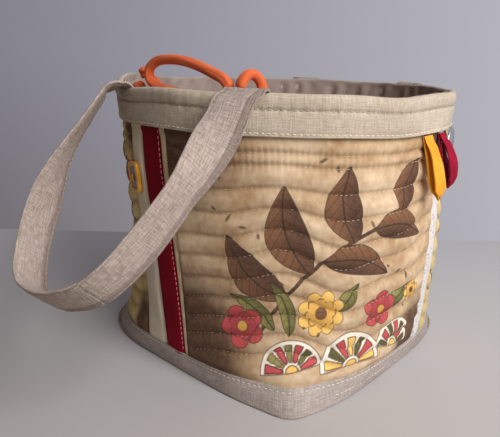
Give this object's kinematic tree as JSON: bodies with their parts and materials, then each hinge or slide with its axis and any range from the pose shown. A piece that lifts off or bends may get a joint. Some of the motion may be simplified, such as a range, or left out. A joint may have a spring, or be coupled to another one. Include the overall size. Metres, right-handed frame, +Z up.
{
  "type": "patchwork basket",
  "caption": "Soft patchwork fabric basket on a rounded square base, with a round linen rim, drawstring bow, strap handles, hanging loops and buttons.",
  "frame": {"origin": "centre of the underside, on the surface the basket stands on", "axes": "+Z up, -Y towards the front handle, +X towards the side with the hanging loops"},
  "size_m": [0.2636, 0.4003, 0.22],
  "materials": {
    "linen": "warm grey-beige slubby linen, plain weave",
    "band_linen": "paler cream-beige linen, plain weave, topstitched",
    "lining": "grey-brown cotton, slightly puckered",
    "board": "plain stiff sheet",
    "tan_print": "tan mottled quilting cotton with a printed design, wavy quilting lines",
    "cream_cotton": "plain cream quilting cotton",
    "dotted_cotton": "white cotton with small dots",
    "red_cotton": "deep crimson cotton with pale stitches along one edge",
    "edging_cotton": "narrow cream cotton edging",
    "orange_cord": "soft matte cotton jersey cord",
    "yellow_fabric": "golden yellow cotton",
    "crimson_fabric": "crimson cotton with pale dashed stitches",
    "silver_metal": "satin silver metal",
    "yellow_plastic": "glossy golden resin",
    "blue_plastic": "glossy blue-violet resin"
  },
  "bodies": {
    "basket": {"back_cream_strip": "cream_cotton", "back_edging_strip": "edging_cotton", "back_handle_left_end": "linen", "back_handle_right_end": "linen", "back_print_panel": "tan_print", "back_red_strip": "red_cotton", "base_board": "board", "base_outer": "linen", "drawstring_in_casing": "orange_cord", "drawstring_knot": "orange_cord", "drawstring_large_loop": "orange_cord", "drawstring_left_lead": "orange_cord", "drawstring_lower_end_knot": "orange_cord", "drawstring_lower_tail": "orange_cord", "drawstring_right_lead": "orange_cord", "drawstring_small_loop": "orange_cord", "drawstring_upper_end_knot": "orange_cord", "drawstring_upper_tail": "orange_cord", "front_cream_strip": "cream_cotton", "front_edging_strip": "edging_cotton", "front_handle_left_end": "linen", "front_handle_right_end": "linen", "front_print_panel": "tan_print", "front_red_strip": "red_cotton", "left_button_centre": "blue_plastic", "left_button_rim": "yellow_plastic", "left_dotted_strip": "dotted_cotton", "left_print_panel": "tan_print", "lining_floor": "lining", "lining_wall": "lining", "metal_button": "silver_metal", "metal_button_shank": "silver_metal", "right_dotted_strip": "dotted_cotton", "right_print_panel": "tan_print", "rim_band": "band_linen", "rim_facing": "lining"},
    "front_handle": {"front_handle_right_strap": "linen", "front_handle_left_strap": "linen"},
    "back_handle": {"back_handle_right_strap": "linen", "back_handle_left_strap": "linen"},
    "yellow_loop": {"yellow_loop": "yellow_fabric"},
    "crimson_loop": {"crimson_loop": "crimson_fabric"}
  },
  "joints": [
    {"name": "front_handle_swing", "type": "hinge", "parent": "basket", "child": "front_handle", "pos_m": [0.00953, -0.12107, 0.2037], "axis": [-0.9969, -0.0785, 0], "range_deg": [-26.5, 186.5]},
    {"name": "back_handle_swing", "type": "hinge", "parent": "basket", "child": "back_handle", "pos_m": [-0.00953, 0.12107, 0.2037], "axis": [0.9969, 0.0785, 0], "range_deg": [0, 213]},
    {"name": "yellow_loop_swing", "type": "hinge", "parent": "basket", "child": "yellow_loop", "pos_m": [0.12576, -0.00769, 0.1735], "axis": [-0.0611, -0.9981, 0], "range_deg": [-4, 80]},
    {"name": "crimson_loop_swing", "type": "hinge", "parent": "basket", "child": "crimson_loop", "pos_m": [0.12552, 0.01098, 0.1735], "axis": [0.0872, -0.9962, 0], "range_deg": [-2, 80]}
  ]
}
